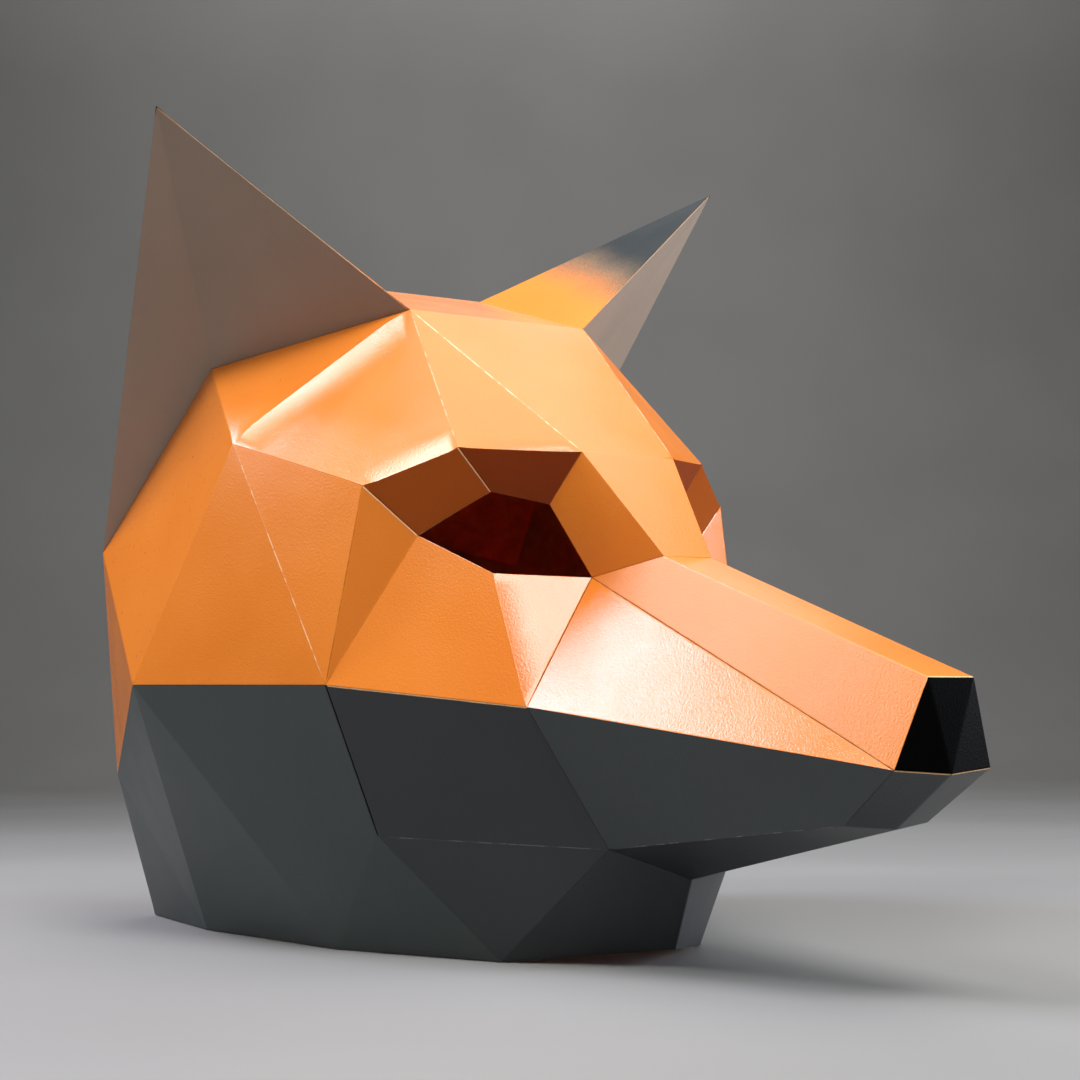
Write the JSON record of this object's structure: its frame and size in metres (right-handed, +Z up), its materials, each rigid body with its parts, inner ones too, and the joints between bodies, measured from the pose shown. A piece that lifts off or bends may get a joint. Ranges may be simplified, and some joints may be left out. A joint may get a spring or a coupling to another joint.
{
  "type": "fox mask",
  "caption": "Full-head fox mask of folded, painted card sheets with tall ears, cut eye holes, a long muzzle and an open neck, worn over the whole head.",
  "frame": {"origin": "middle of the bounding box at its base, on the plane of the neck rim", "axes": "+Z up through the crown, -Y out of the nose, +X towards the wearer's left"},
  "size_m": [0.2974, 0.4898, 0.3563],
  "materials": {
    "orange_card": "satin orange spray paint on card",
    "slate_card": "satin slate-grey spray paint on card",
    "black_card": "satin black paint on card",
    "pale_card": "matt pale warm-grey paint on card",
    "ear_card": "orange spray paint fading to dark blue-grey at the ear tip"
  },
  "bodies": {
    "root": {"forehead": "orange_card", "crown": "orange_card", "temple_right": "orange_card", "temple_left": "orange_card", "lid_outer_right": "orange_card", "lid_outer_left": "orange_card", "lid_inner_right": "orange_card", "lid_inner_left": "orange_card", "cheek_right": "orange_card", "cheek_left": "orange_card", "snout_top": "orange_card", "snout_side_right": "orange_card", "snout_side_left": "orange_card", "nose": "black_card", "jaw_side_right": "slate_card", "jaw_side_left": "slate_card", "jaw_under": "slate_card", "neck_cheek_right": "slate_card", "neck_cheek_left": "slate_card", "neck_side_right": "slate_card", "neck_side_left": "slate_card", "throat": "slate_card", "ear_inner_right": "pale_card", "ear_inner_left": "pale_card", "ear_outer_right": "ear_card", "ear_outer_left": "ear_card", "nape": "orange_card", "neck_back": "slate_card"}
  },
  "joints": []
}
